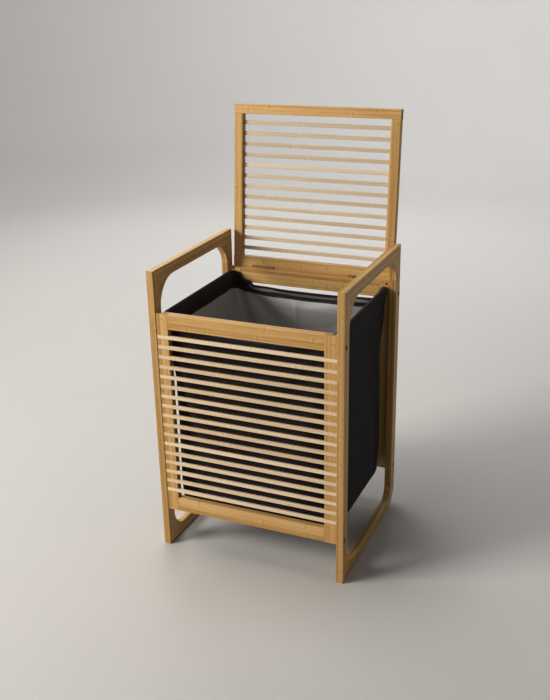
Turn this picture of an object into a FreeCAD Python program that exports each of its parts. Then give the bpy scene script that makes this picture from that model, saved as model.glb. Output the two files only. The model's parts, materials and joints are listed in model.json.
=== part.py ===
import FreeCAD, Part
import math
import os

from FreeCAD import Vector, Placement, Rotation

# ---------------------------------------------------------------------------
# Laundry hamper with a hinged slatted lid: two bamboo loop side frames carry a
# slatted front panel and a slatted back panel.  A cloth bag hangs inside on
# two loose rods.  The lid turns on two butt hinges at the back rail and is
# drawn open, leaning a little past vertical.
# All sizes in millimetres.  +Z up, front of the hamper towards -Y.
# Design coordinates: X = 0 on the middle plane, Y = 0 at the front edges of
# the side frames, Z = 0 on the floor.  Everything is moved by -Y_ORIGIN when
# written, so that the origin is under the middle of the bounding box.
# ---------------------------------------------------------------------------

# overall
WIDTH = 400.0              # over the two side frames
DEPTH = 345.0              # front to back of the side frames
HEIGHT = 600.0             # floor to the top of the handles
Y_ORIGIN = 196.574         # half of the depth taken up with the lid open

# side frames (closed loops)
SIDE_THICK = 15.0
UPRIGHT_W = 25.0
HANDLE_H = 24.0
FOOT_H = 22.0
R_IN_FRONT_TOP = 56.0
R_IN_BACK_TOP = 50.0
R_IN_FRONT_FOOT = 45.0
R_IN_BACK_FOOT = 28.0
R_OUT_BACK_FOOT = 48.0
EDGE_SIDE = 1.5            # softened edges of the side frames

# front and back panels
PANEL_T = 14.0
PANEL_INSET = 1.5          # front face behind the frame's front edge
PANEL_Z0 = 86.0
PANEL_Z1 = 517.0
STILE_W = 25.0
TOP_RAIL_H = 31.0
BOTTOM_RAIL_H = 30.0
N_PANEL_SLATS = 17
SLAT_H = 8.0
SLAT_T = 5.0
EDGE_PANEL = 1.0
EDGE_SLAT = 0.9
HOUSING_GAP = 0.05         # glue gap round a slat let into a stile

# lid (closed position is used for the layout)
LID_W = 366.0
LID_L = 345.0
LID_T = 15.0
LID_GAP = 0.5              # air under the closed lid
LID_STILE_W = 20.0
LID_FREE_RAIL_W = 20.0
LID_HINGE_RAIL_W = 24.0
LID_OVER = 5.0              # hinge-side edge runs past the back face, notched at the hinges
N_LID_SLATS = 13
LID_SLAT_DEPTH = 8.0       # slat ends let into the stiles
LID_SLAT_Z = 7.0           # slats above the underside of the lid
EDGE_LID = 1.5
LID_OPEN_DEG = 95.0        # travel from closed to open

# hinges
HINGE_X = 112.0
HINGE_W = 50.0
LEAF_T = 1.5
KNUCKLE_R = 3.0
PIN_R = 1.5
PIN_CLEAR = 0.06
FRAME_LEAF_H = 22.0
LID_LEAF_H = 13.5
KNUCKLE_GAP = 0.35
SCREW_R = 1.5
SCREW_HEAD_R = 2.9
SCREW_LEN = 11.0

# furniture bolts and barrel nuts
BOLT_R = 2.95
BOLT_HOLE_R = 3.0
BOLT_HEAD_R = 6.0
BOLT_HEAD_H = 4.5
HEAD_RECESS = 5.0
NUT_R = 5.0
NUT_LEN = 10.5
BOLT_TIP_X = 142.0
NUT_X = 147.0
BOLT_Z_TOP = 495.5
BOLT_Z_BOTTOM = 94.5

# dowels
DOWEL_R = 3.0
DOWEL_CLEAR = 0.05
LID_DOWEL_R = 2.5

# bag and its rods
ROD_R = 4.0
ROD_X = 177.0
ROD_Z = 509.0
ROD_SLOT_W = 8.4
ROD_SLOT_DEPTH = 8.0
BAG_HALF_X = 177.0
BAG_Y0 = 19.0
BAG_Y1 = 327.0
BAG_Z0 = 95.0
BAG_WALL = 2.0
BAG_CORNER_R = 34.0
BAG_EDGE_Z = 483.0         # front and back top edges
BAG_SIDE_Z = 503.8         # side walls, up to the rod casings
CASING_R_IN = 4.4
CASING_R_OUT = 5.6
BAG_EDGE_RISE_X = 128.0    # where the edge begins to climb to the corner
BOARD_T = 3.0

HALF = WIDTH / 2.0
IN_X = HALF - SIDE_THICK
HINGE_Y = DEPTH + KNUCKLE_R
HINGE_Z = PANEL_Z1 + LID_GAP

parts = {}


def box(x0, x1, y0, y1, z0, z1):
    return Part.makeBox(x1 - x0, y1 - y0, z1 - z0, Vector(x0, y0, z0))


def cyl(r, p, q):
    a, b = Vector(*p), Vector(*q)
    return Part.makeCylinder(r, (b - a).Length, a, b - a)


def soften(shape, r, axis=None, min_len=20.0, keep=None):
    """Round the straight edges of a shape that run along one axis."""
    edges = []
    for e in shape.Edges:
        if e.Length < min_len or not isinstance(e.Curve, Part.Line):
            continue
        a, b = e.Vertexes[0].Point, e.Vertexes[-1].Point
        d = b - a
        if axis is not None:
            big = [abs(d.x), abs(d.y), abs(d.z)]
            if big["xyz".index(axis)] < 0.99 * d.Length:
                continue
        if keep is not None and not keep((a + b) * 0.5):
            continue
        edges.append(e)
    return shape.makeFillet(r, edges) if edges else shape


def rounded_prism(x0, x1, y0, y1, z0, z1, r):
    b = box(x0, x1, y0, y1, z0, z1)
    es = [e for e in b.Edges
          if abs(e.Vertexes[0].Z - e.Vertexes[-1].Z) > (z1 - z0) * 0.99]
    return b.makeFillet(r, es)


# ---------------------------------------------------------------------------
# Side frames
# ---------------------------------------------------------------------------
def loop_wire(y0, y1, z0, z1, r_ft, r_bt, r_ff, r_bf, x):
    """Rectangle in the YZ plane with its own radius at each corner.
    ft front top, bt back top, ff front foot, bf back foot; 0 leaves it square."""
    k = math.sqrt(0.5)
    edges = []

    def arc(cy, cz, r, p, q, sy, sz):
        if r <= 0:
            return
        mid = Vector(x, cy + sy * r * k, cz + sz * r * k)
        edges.append(Part.Arc(p, mid, q).toShape())

    P = lambda y, z: Vector(x, y, z)
    a, b = P(y0 + r_ff, z0), P(y1 - r_bf, z0)
    edges.append(Part.LineSegment(a, b).toShape())
    arc(y1 - r_bf, z0 + r_bf, r_bf, b, P(y1, z0 + r_bf), 1, -1)
    a, b = P(y1, z0 + r_bf), P(y1, z1 - r_bt)
    edges.append(Part.LineSegment(a, b).toShape())
    arc(y1 - r_bt, z1 - r_bt, r_bt, b, P(y1 - r_bt, z1), 1, 1)
    a, b = P(y1 - r_bt, z1), P(y0 + r_ft, z1)
    edges.append(Part.LineSegment(a, b).toShape())
    arc(y0 + r_ft, z1 - r_ft, r_ft, b, P(y0, z1 - r_ft), -1, 1)
    a, b = P(y0, z1 - r_ft), P(y0, z0 + r_ff)
    edges.append(Part.LineSegment(a, b).toShape())
    arc(y0 + r_ff, z0 + r_ff, r_ff, b, P(y0 + r_ff, z0), -1, -1)
    return Part.Wire(edges)


def side_frame(sign):
    x0 = sign * IN_X if sign > 0 else -HALF
    outer = loop_wire(0, DEPTH, 0, HEIGHT, 0, 0, 0, R_OUT_BACK_FOOT, x0)
    inner = loop_wire(UPRIGHT_W, DEPTH - UPRIGHT_W, FOOT_H, HEIGHT - HANDLE_H,
                      R_IN_FRONT_TOP, R_IN_BACK_TOP,
                      R_IN_FRONT_FOOT, R_IN_BACK_FOOT, x0)
    solid = Part.Face(outer).extrude(Vector(SIDE_THICK, 0, 0))
    hole = Part.Face(inner).extrude(Vector(SIDE_THICK, 0, 0))
    solid = solid.cut(hole)
    # soften the rims of both faces, and the four long outer corners
    rim = []
    for e in solid.Edges:
        xs = [v.X for v in e.Vertexes]
        if max(xs) - min(xs) < 1e-6:
            rim.append(e)
    solid = solid.makeFillet(EDGE_SIDE, rim)
    # bolt holes with counterbores on the outer face
    for y in (PANEL_INSET + PANEL_T / 2, DEPTH - PANEL_T / 2):
        for z in (BOLT_Z_TOP, BOLT_Z_BOTTOM):
            solid = solid.cut(cyl(BOLT_HOLE_R, (sign * (IN_X - 1), y, z),
                                  (sign * (HALF + 1), y, z)))
            solid = solid.cut(cyl(BOLT_HEAD_R + 0.1,
                                  (sign * (HALF - HEAD_RECESS), y, z),
                                  (sign * (HALF + 1), y, z)))
    return solid


parts["left_side_frame"] = side_frame(-1)
parts["right_side_frame"] = side_frame(1)

# ---------------------------------------------------------------------------
# Front and back panels
# ---------------------------------------------------------------------------
OPEN_Z0 = PANEL_Z0 + BOTTOM_RAIL_H
OPEN_Z1 = PANEL_Z1 - TOP_RAIL_H
slat_gap = (OPEN_Z1 - OPEN_Z0 - N_PANEL_SLATS * SLAT_H) / (N_PANEL_SLATS + 1)
slat_pitch = SLAT_H + slat_gap
panel_slat_z = [OPEN_Z1 - slat_gap - SLAT_H / 2 - i * slat_pitch
                for i in range(N_PANEL_SLATS)]


def panel(prefix, y_out, y_in):
    """y_out is the outer face, y_in the inner face, either way round."""
    lo, hi = min(y_out, y_in), max(y_out, y_in)
    mid = (lo + hi) / 2
    out = -1 if y_out < y_in else 1
    s0, s1 = sorted((y_out, y_out - out * SLAT_T))
    stile_x = IN_X - STILE_W
    made = {}
    for name, z0, z1, zb, zd in (
            ("top_rail", OPEN_Z1, PANEL_Z1, BOLT_Z_TOP, PANEL_Z1 - 8.5),
            ("bottom_rail", PANEL_Z0, OPEN_Z0, BOLT_Z_BOTTOM, OPEN_Z0 - 8.5)):
        rail = soften(box(-stile_x, stile_x, lo, hi, z0, z1), EDGE_PANEL, "x")
        for sx in (-1, 1):
            rail = rail.cut(cyl(BOLT_HOLE_R, (sx * (BOLT_TIP_X - 1), mid, zb),
                                (sx * (stile_x + 1), mid, zb)))
            # blind hole for the barrel nut, drilled from the panel's rear face
            rail = rail.cut(cyl(NUT_R + 0.05, (sx * NUT_X, hi + 1.0, zb),
                                (sx * NUT_X, hi - (NUT_LEN + 0.6), zb)))
            rail = rail.cut(cyl(DOWEL_R + DOWEL_CLEAR,
                                (sx * (stile_x - 10.3), mid, zd),
                                (sx * (stile_x + 1), mid, zd)))
        made[name] = rail
    for name, sx in (("left_stile", -1), ("right_stile", 1)):
        x0, x1 = sorted((sx * stile_x, sx * IN_X))
        stile = soften(box(x0, x1, lo, hi, PANEL_Z0, PANEL_Z1), EDGE_PANEL, "z",
                       keep=lambda m: abs(abs(m.x) - stile_x) < 0.1)
        for z in panel_slat_z:
            n0, n1 = sorted((y_out + out, y_out - out * (SLAT_T + HOUSING_GAP)))
            stile = stile.cut(box(x0 - 1, x1 + 1, n0, n1,
                                  z - SLAT_H / 2 - HOUSING_GAP,
                                  z + SLAT_H / 2 + HOUSING_GAP))
        for zb in (BOLT_Z_TOP, BOLT_Z_BOTTOM):
            stile = stile.cut(cyl(BOLT_HOLE_R, (x0 - 1, mid, zb), (x1 + 1, mid, zb)))
        for zd in (PANEL_Z1 - 8.5, OPEN_Z0 - 8.5):
            stile = stile.cut(cyl(DOWEL_R + DOWEL_CLEAR,
                                  (sx * (stile_x - 1), mid, zd),
                                  (sx * (stile_x + 10.3), mid, zd)))
        # drop-in slot for the end of the bag rod, open at the top
        n0, n1 = sorted((y_in - out * 1.0, y_in + out * ROD_SLOT_DEPTH))
        slot = box(sx * ROD_X - ROD_SLOT_W / 2, sx * ROD_X + ROD_SLOT_W / 2,
                   n0, n1, ROD_Z, PANEL_Z1 + 1)
        slot = slot.fuse(cyl(ROD_SLOT_W / 2, (sx * ROD_X, n0, ROD_Z),
                             (sx * ROD_X, n1, ROD_Z)))
        stile = stile.cut(slot)
        made[name] = stile
    slats = []
    for z in panel_slat_z:
        s = box(-IN_X + 0.1, IN_X - 0.1, s0, s1, z - SLAT_H / 2, z + SLAT_H / 2)
        slats.append(soften(s, EDGE_SLAT, "x"))
    for k, v in made.items():
        parts[prefix + "_" + k] = v
    return slats, mid, out


FRONT_OUT = PANEL_INSET
FRONT_IN = PANEL_INSET + PANEL_T
BACK_OUT = DEPTH
BACK_IN = DEPTH - PANEL_T

front_slats, front_mid, _ = panel("front", FRONT_OUT, FRONT_IN)
for i, s in enumerate(front_slats):
    parts["front_slat_%02d" % (i + 1)] = s
back_slats, back_mid, _ = panel("back", BACK_OUT, BACK_IN)
parts["back_slats"] = Part.makeCompound(back_slats)

# ---------------------------------------------------------------------------
# Bolts, barrel nuts and dowels of the frame
# ---------------------------------------------------------------------------
bolts, nuts, dowels = [], [], []
for sx in (-1, 1):
    for mid, y_rear in ((front_mid, FRONT_IN), (back_mid, DEPTH)):
        for z in (BOLT_Z_TOP, BOLT_Z_BOTTOM):
            head_x = HALF - HEAD_RECESS
            shank = cyl(BOLT_R, (sx * BOLT_TIP_X, mid, z), (sx * head_x, mid, z))
            head = cyl(BOLT_HEAD_R, (sx * head_x, mid, z),
                       (sx * (head_x + BOLT_HEAD_H), mid, z))
            bolt = shank.fuse(head).removeSplitter()
            hexa = Part.makePolygon(
                [Vector(sx * (head_x + BOLT_HEAD_H - 2.8),
                        mid + 2.9 * math.cos(math.radians(60 * k)),
                        z + 2.9 * math.sin(math.radians(60 * k)))
                 for k in range(7)])
            socket = Part.Face(hexa).extrude(Vector(sx * 5.0, 0, 0))
            bolts.append(bolt.cut(socket))
            n = cyl(NUT_R, (sx * NUT_X, y_rear - 0.2, z),
                    (sx * NUT_X, y_rear - (0.2 + NUT_LEN), z))
            n = n.cut(cyl(BOLT_HOLE_R, (sx * (NUT_X - 8), mid, z),
                          (sx * (NUT_X + 8), mid, z)))
            nuts.append(n)
        for zd in (PANEL_Z1 - 8.5, OPEN_Z0 - 8.5):
            sxx = IN_X - STILE_W
            dowels.append(cyl(DOWEL_R, (sx * (sxx - 10), mid, zd),
                              (sx * (sxx + 10), mid, zd)))
parts["frame_bolts"] = Part.makeCompound(bolts)
parts["barrel_nuts"] = Part.makeCompound(nuts)
parts["frame_dowels"] = Part.makeCompound(dowels)

# ---------------------------------------------------------------------------
# Lid, laid out closed, then turned open about the hinge axis
# ---------------------------------------------------------------------------
LZ0 = HINGE_Z
LZ1 = LZ0 + LID_T
LY0 = DEPTH - LID_L
LX = LID_W / 2
lid_open0 = LY0 + LID_FREE_RAIL_W
lid_open1 = DEPTH + LID_OVER - LID_HINGE_RAIL_W
lid_gap = (lid_open1 - lid_open0 - N_LID_SLATS * SLAT_H) / (N_LID_SLATS + 1)
lid_slat_y = [lid_open0 + lid_gap + SLAT_H / 2 + i * (SLAT_H + lid_gap)
              for i in range(N_LID_SLATS)]


def open_lid(shape):
    s = shape.copy()
    s.rotate(Vector(0, HINGE_Y, HINGE_Z), Vector(1, 0, 0), -LID_OPEN_DEG)
    return s


lid_front_rail = soften(box(-LX, LX, LY0, LY0 + LID_FREE_RAIL_W, LZ0, LZ1),
                        EDGE_LID, "x")
lid_back_rail = soften(box(-LX, LX, lid_open1, DEPTH + LID_OVER, LZ0, LZ1),
                       EDGE_LID, "x")
for xm in (-HINGE_X, HINGE_X):
    lid_back_rail = lid_back_rail.cut(
        box(xm - HINGE_W / 2 - 2.2, xm + HINGE_W / 2 + 2.2,
            DEPTH, DEPTH + LID_OVER + 1, LZ0 - 1, LZ1 + 1))
    # room for the knuckles and the frame leaf's top edge
    lid_back_rail = lid_back_rail.cut(
        box(xm - HINGE_W / 2 - 2.2, xm + HINGE_W / 2 + 2.2,
            DEPTH - 0.6, DEPTH + 1, LZ0 - 1, LZ0 + KNUCKLE_R + 0.6))
lid_stiles = {}
for name, sx in (("lid_left_stile", -1), ("lid_right_stile", 1)):
    x0, x1 = sorted((sx * (LX - LID_STILE_W), sx * LX))
    st = soften(box(x0, x1, lid_open0, lid_open1, LZ0, LZ1), EDGE_LID, "y")
    for y in lid_slat_y:
        p0, p1 = sorted((sx * (LX - LID_STILE_W - 1),
                         sx * (LX - LID_STILE_W + LID_SLAT_DEPTH + 0.2)))
        st = st.cut(box(p0, p1, y - SLAT_H / 2 - HOUSING_GAP,
                        y + SLAT_H / 2 + HOUSING_GAP,
                        LZ0 + LID_SLAT_Z - HOUSING_GAP,
                        LZ0 + LID_SLAT_Z + SLAT_T + HOUSING_GAP))
    lid_stiles[name] = st
lid_dowels = []
for sx in (-1, 1):
    for dx in (-4.5, 4.5):
        x = sx * (LX - LID_STILE_W / 2 + dx)
        z = LZ0 + LID_T / 2
        for y_joint, side in ((lid_open0, -1), (lid_open1, 1)):
            a, b = y_joint - 10, y_joint + 10
            hole = cyl(LID_DOWEL_R + DOWEL_CLEAR, (x, a - 0.3, z), (x, b + 0.3, z))
            if side < 0:
                lid_front_rail = lid_front_rail.cut(hole)
            else:
                lid_back_rail = lid_back_rail.cut(hole)
            key = "lid_left_stile" if sx < 0 else "lid_right_stile"
            lid_stiles[key] = lid_stiles[key].cut(hole)
            lid_dowels.append(cyl(LID_DOWEL_R, (x, a, z), (x, b, z)))
lid_slats = []
for y in lid_slat_y:
    hx = LX - LID_STILE_W + LID_SLAT_DEPTH
    s = box(-hx, hx, y - SLAT_H / 2, y + SLAT_H / 2,
            LZ0 + LID_SLAT_Z, LZ0 + LID_SLAT_Z + SLAT_T)
    lid_slats.append(soften(s, EDGE_SLAT, "x"))

# ---------------------------------------------------------------------------
# Butt hinges: frame leaf on the back rail, lid leaf on the lid's end face,
# drawn closed, knuckles along X
# ---------------------------------------------------------------------------
def knuckle_spans(x_mid):
    w = HINGE_W / 5.0
    x0 = x_mid - HINGE_W / 2
    return [(x0 + i * w, x0 + (i + 1) * w) for i in range(5)]


back_rail = parts["back_top_rail"]
screws_frame, screws_lid, pins = [], [], []
for side, xm in (("left", -HINGE_X), ("right", HINGE_X)):
    spans = knuckle_spans(xm)
    y0, y1 = DEPTH, DEPTH + LEAF_T
    bore = cyl(PIN_R + PIN_CLEAR, (xm - HINGE_W, HINGE_Y, HINGE_Z),
               (xm + HINGE_W, HINGE_Y, HINGE_Z))
    relief_r = KNUCKLE_R + KNUCKLE_GAP
    leaf_f = box(xm - HINGE_W / 2, xm + HINGE_W / 2, y0, y1,
                 HINGE_Z - FRAME_LEAF_H, HINGE_Z)
    leaf_l = box(xm - HINGE_W / 2, xm + HINGE_W / 2, y0, y1,
                 HINGE_Z, HINGE_Z + LID_LEAF_H)
    for i, (a, b) in enumerate(spans):
        own, other = (leaf_f, leaf_l) if i % 2 == 0 else (leaf_l, leaf_f)
        lo = a if i == 0 else a + KNUCKLE_GAP / 2
        hi = b if i == 4 else b - KNUCKLE_GAP / 2
        own = own.fuse(cyl(KNUCKLE_R, (lo, HINGE_Y, HINGE_Z), (hi, HINGE_Y, HINGE_Z)))
        other = other.cut(cyl(relief_r, (a - (0 if i == 0 else KNUCKLE_GAP / 2), HINGE_Y, HINGE_Z),
                              (b + (0 if i == 4 else KNUCKLE_GAP / 2), HINGE_Y, HINGE_Z)))
        if i % 2 == 0:
            leaf_f, leaf_l = own, other
        else:
            leaf_l, leaf_f = own, other
    # the leaf edges at the axis stand clear of each other through the travel
    leaf_l = leaf_l.cut(box(xm - HINGE_W, xm + HINGE_W, DEPTH - 1, HINGE_Y - KNUCKLE_R * 0.98,
                            HINGE_Z - 1, HINGE_Z + 0.3))
    leaf_f = leaf_f.cut(bore).removeSplitter()
    leaf_l = leaf_l.cut(bore).removeSplitter()
    pin = cyl(PIN_R, (xm - HINGE_W / 2 - 0.4, HINGE_Y, HINGE_Z),
              (xm + HINGE_W / 2 + 0.4, HINGE_Y, HINGE_Z))
    for e, d in ((xm - HINGE_W / 2 - 1.6, 1), (xm + HINGE_W / 2 + 0.4, 1)):
        pin = pin.fuse(cyl(2.3, (e, HINGE_Y, HINGE_Z), (e + 1.2, HINGE_Y, HINGE_Z)))
    pins.append(pin.removeSplitter())

    def screw(x, z, zdir_hole_r=None):
        head = Part.makeCone(SCREW_R, SCREW_HEAD_R, 1.4,
                             Vector(x, y1 - 1.4, z), Vector(0, 1, 0))
        shank = cyl(SCREW_R, (x, y1 - SCREW_LEN, z), (x, y1 - 1.3, z))
        tip = Part.makeCone(0.4, SCREW_R, 2.0, Vector(x, y1 - SCREW_LEN - 2.0, z),
                            Vector(0, 1, 0))
        body = head.fuse(shank).fuse(tip).removeSplitter()
        cross = box(x - 1.6, x + 1.6, y1 - 0.7, y1 + 1, z - 0.35, z + 0.35)
        cross = cross.fuse(box(x - 0.35, x + 0.35, y1 - 0.7, y1 + 1, z - 1.6, z + 1.6))
        return body.cut(cross)

    def pilot(x, z):
        c = 0.05
        head = Part.makeCone(SCREW_R + c, SCREW_HEAD_R + c, 1.4,
                             Vector(x, y1 - 1.4, z), Vector(0, 1, 0))
        top = cyl(SCREW_HEAD_R + c, (x, y1, z), (x, y1 + 2, z))
        hole = cyl(SCREW_R + c, (x, y1 - SCREW_LEN - 2.3, z), (x, y1 - 1.3, z))
        return head.fuse(hole).fuse(top)

    for dx in (-17.0, 0.0, 17.0):
        x, z = xm + dx, HINGE_Z - 14.0
        leaf_f = leaf_f.cut(pilot(x, z))
        back_rail = back_rail.cut(pilot(x, z))
        screws_frame.append(screw(x, z))
        x, z = xm + dx, HINGE_Z + 8.5
        leaf_l = leaf_l.cut(pilot(x, z))
        lid_back_rail = lid_back_rail.cut(pilot(x, z))
        screws_lid.append(screw(x, z))
    parts[side + "_hinge_frame_leaf"] = leaf_f
    parts[side + "_hinge_lid_leaf"] = open_lid(leaf_l)
parts["back_top_rail"] = back_rail
parts["hinge_pins"] = Part.makeCompound(pins)
parts["hinge_screws_frame"] = Part.makeCompound(screws_frame)
parts["hinge_screws_lid"] = open_lid(Part.makeCompound(screws_lid))

parts["lid_front_rail"] = open_lid(lid_front_rail)
parts["lid_back_rail"] = open_lid(lid_back_rail)
for k, v in lid_stiles.items():
    parts[k] = open_lid(v)
for i, s in enumerate(lid_slats):
    parts["lid_slat_%02d" % (i + 1)] = open_lid(s)
parts["lid_dowels"] = open_lid(Part.makeCompound(lid_dowels))

# ---------------------------------------------------------------------------
# Bag rods and bag
# ---------------------------------------------------------------------------
for side, sx in (("left", -1), ("right", 1)):
    rod = cyl(ROD_R, (sx * ROD_X, FRONT_IN - ROD_SLOT_DEPTH + 0.5, ROD_Z),
              (sx * ROD_X, BACK_IN + ROD_SLOT_DEPTH - 0.5, ROD_Z))
    ends = [e for e in rod.Edges if isinstance(e.Curve, Part.Circle)]
    parts["bag_%s_rod" % side] = rod.makeFillet(0.6, ends)

outer = rounded_prism(-BAG_HALF_X, BAG_HALF_X, BAG_Y0, BAG_Y1, BAG_Z0,
                      BAG_SIDE_Z, BAG_CORNER_R)
inner = rounded_prism(-BAG_HALF_X + BAG_WALL, BAG_HALF_X - BAG_WALL,
                      BAG_Y0 + BAG_WALL, BAG_Y1 - BAG_WALL,
                      BAG_Z0 + BAG_WALL, BAG_SIDE_Z + 10,
                      BAG_CORNER_R - BAG_WALL)
bag = outer.cut(inner)
# front and back edges hang lower than the sides
dip = Part.makePolygon([Vector(-BAG_HALF_X + 6, 0, BAG_SIDE_Z + 5),
                        Vector(-BAG_HALF_X + 6, 0, BAG_SIDE_Z - 2),
                        Vector(-BAG_EDGE_RISE_X, 0, BAG_EDGE_Z),
                        Vector(BAG_EDGE_RISE_X, 0, BAG_EDGE_Z),
                        Vector(BAG_HALF_X - 6, 0, BAG_SIDE_Z - 2),
                        Vector(BAG_HALF_X - 6, 0, BAG_SIDE_Z + 5),
                        Vector(-BAG_HALF_X + 6, 0, BAG_SIDE_Z + 5)])
bag = bag.cut(Part.Face(dip).extrude(Vector(0, DEPTH, 0)))
for sx in (-1, 1):
    casing = cyl(CASING_R_OUT, (sx * ROD_X, BAG_Y0 + 3, ROD_Z),
                 (sx * ROD_X, BAG_Y1 - 3, ROD_Z))
    bag = bag.fuse(casing)
for sx in (-1, 1):
    bag = bag.cut(cyl(CASING_R_IN, (sx * ROD_X, BAG_Y0 - 3, ROD_Z),
                      (sx * ROD_X, BAG_Y1 + 3, ROD_Z)))
parts["bag_shell"] = bag.removeSplitter()
parts["bag_base_board"] = rounded_prism(
    -BAG_HALF_X + BAG_WALL + 5, BAG_HALF_X - BAG_WALL - 5,
    BAG_Y0 + BAG_WALL + 5, BAG_Y1 - BAG_WALL - 5,
    BAG_Z0 + BAG_WALL + 0.2, BAG_Z0 + BAG_WALL + 0.2 + BOARD_T,
    BAG_CORNER_R - BAG_WALL - 5)

# ---------------------------------------------------------------------------
# Write one STEP file per node
# ---------------------------------------------------------------------------
os.makedirs("parts", exist_ok=True)
box_all = FreeCAD.BoundBox()
for name, shape in parts.items():
    s = shape.copy()
    s.translate(Vector(0, -Y_ORIGIN, 0))
    if not s.isValid():
        print("INVALID", name)
    n = len(s.Solids)
    b = s.optimalBoundingBox() if hasattr(s, "optimalBoundingBox") else s.BoundBox
    box_all.add(b)
    s.exportStep("parts/%s.step" % name)
    print("%-26s solids %2d volume %9.0f" % (name, n, s.Volume))
print("nodes", len(parts))
print("box X %.3f %.3f  Y %.3f %.3f  Z %.3f %.3f" % (
    box_all.XMin, box_all.XMax, box_all.YMin, box_all.YMax, box_all.ZMin, box_all.ZMax))
print("hinge axis y %.3f z %.3f" % (HINGE_Y - Y_ORIGIN, HINGE_Z))
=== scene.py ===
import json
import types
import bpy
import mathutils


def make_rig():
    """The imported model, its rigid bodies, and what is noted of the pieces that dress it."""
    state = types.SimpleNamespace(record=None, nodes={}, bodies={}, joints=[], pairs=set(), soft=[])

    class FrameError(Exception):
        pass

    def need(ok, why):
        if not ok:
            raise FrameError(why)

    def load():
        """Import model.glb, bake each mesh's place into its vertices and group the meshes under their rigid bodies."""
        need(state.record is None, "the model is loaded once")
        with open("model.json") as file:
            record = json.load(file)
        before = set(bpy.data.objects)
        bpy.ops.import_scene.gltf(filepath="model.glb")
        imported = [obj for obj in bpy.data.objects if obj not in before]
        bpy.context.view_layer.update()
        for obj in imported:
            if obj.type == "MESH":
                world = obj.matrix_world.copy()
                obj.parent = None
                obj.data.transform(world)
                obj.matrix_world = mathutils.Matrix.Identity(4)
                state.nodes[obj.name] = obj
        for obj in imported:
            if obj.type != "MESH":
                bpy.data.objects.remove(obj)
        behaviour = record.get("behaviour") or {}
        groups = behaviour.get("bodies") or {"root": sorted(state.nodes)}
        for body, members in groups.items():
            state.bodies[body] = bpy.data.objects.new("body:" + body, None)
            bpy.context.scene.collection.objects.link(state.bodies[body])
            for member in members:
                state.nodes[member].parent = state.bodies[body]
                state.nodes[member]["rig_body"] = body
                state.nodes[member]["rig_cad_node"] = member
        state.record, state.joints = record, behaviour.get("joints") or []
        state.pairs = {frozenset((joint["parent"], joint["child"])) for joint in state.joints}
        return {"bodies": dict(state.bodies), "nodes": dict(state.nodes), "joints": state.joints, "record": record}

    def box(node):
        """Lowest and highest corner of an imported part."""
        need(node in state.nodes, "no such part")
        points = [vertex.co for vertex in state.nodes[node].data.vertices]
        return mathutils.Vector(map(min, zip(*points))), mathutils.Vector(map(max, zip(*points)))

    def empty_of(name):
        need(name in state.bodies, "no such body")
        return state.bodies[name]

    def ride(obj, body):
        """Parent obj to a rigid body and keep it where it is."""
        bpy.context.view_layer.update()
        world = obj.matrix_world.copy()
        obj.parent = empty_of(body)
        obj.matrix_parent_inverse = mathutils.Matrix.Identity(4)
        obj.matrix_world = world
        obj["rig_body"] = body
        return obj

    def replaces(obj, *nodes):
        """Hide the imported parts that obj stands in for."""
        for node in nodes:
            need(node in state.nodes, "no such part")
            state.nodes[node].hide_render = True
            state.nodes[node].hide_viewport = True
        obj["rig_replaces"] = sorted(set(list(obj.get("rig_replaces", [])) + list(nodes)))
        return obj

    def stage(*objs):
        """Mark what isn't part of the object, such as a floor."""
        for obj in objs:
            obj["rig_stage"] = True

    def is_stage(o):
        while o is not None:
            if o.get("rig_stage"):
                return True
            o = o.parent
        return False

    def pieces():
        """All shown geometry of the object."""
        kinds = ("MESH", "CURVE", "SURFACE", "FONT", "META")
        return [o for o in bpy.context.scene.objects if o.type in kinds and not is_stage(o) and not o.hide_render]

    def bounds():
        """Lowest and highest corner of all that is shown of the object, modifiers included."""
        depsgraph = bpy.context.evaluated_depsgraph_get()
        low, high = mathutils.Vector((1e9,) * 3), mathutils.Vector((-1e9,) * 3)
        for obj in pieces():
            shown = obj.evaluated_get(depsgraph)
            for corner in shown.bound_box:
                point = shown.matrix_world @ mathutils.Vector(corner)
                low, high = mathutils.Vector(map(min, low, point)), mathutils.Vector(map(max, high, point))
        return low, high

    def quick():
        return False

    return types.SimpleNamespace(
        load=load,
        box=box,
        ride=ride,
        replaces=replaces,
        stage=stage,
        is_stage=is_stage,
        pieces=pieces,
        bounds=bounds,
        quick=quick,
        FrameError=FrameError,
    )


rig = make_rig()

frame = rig.load()
CAD_BOX = [list(map(float, p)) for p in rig.bounds()]

import json
import math
import random

import bmesh
import bpy
import numpy as np
from mathutils import Matrix, Vector
from mathutils.bvhtree import BVHTree

random.seed(7)
RNG = np.random.default_rng(11)
NODES = frame["nodes"]
JOINT = frame["joints"][0]
HY, HZ = JOINT["pos_m"][1], JOINT["pos_m"][2]          # hinge axis
LEAN = math.radians(5.0)                                # open lid past upright

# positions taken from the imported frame
FR_LO, FR_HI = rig.box("left_side_frame")
FRONT_Y, REAR_Y = FR_LO.y, FR_HI.y
TOP_Z = FR_HI.z
PANEL_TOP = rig.box("front_top_rail")[1].z
ROD_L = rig.box("bag_left_rod")
ROD_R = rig.box("bag_right_rod")
BAG_LO, BAG_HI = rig.box("bag_shell")


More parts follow.
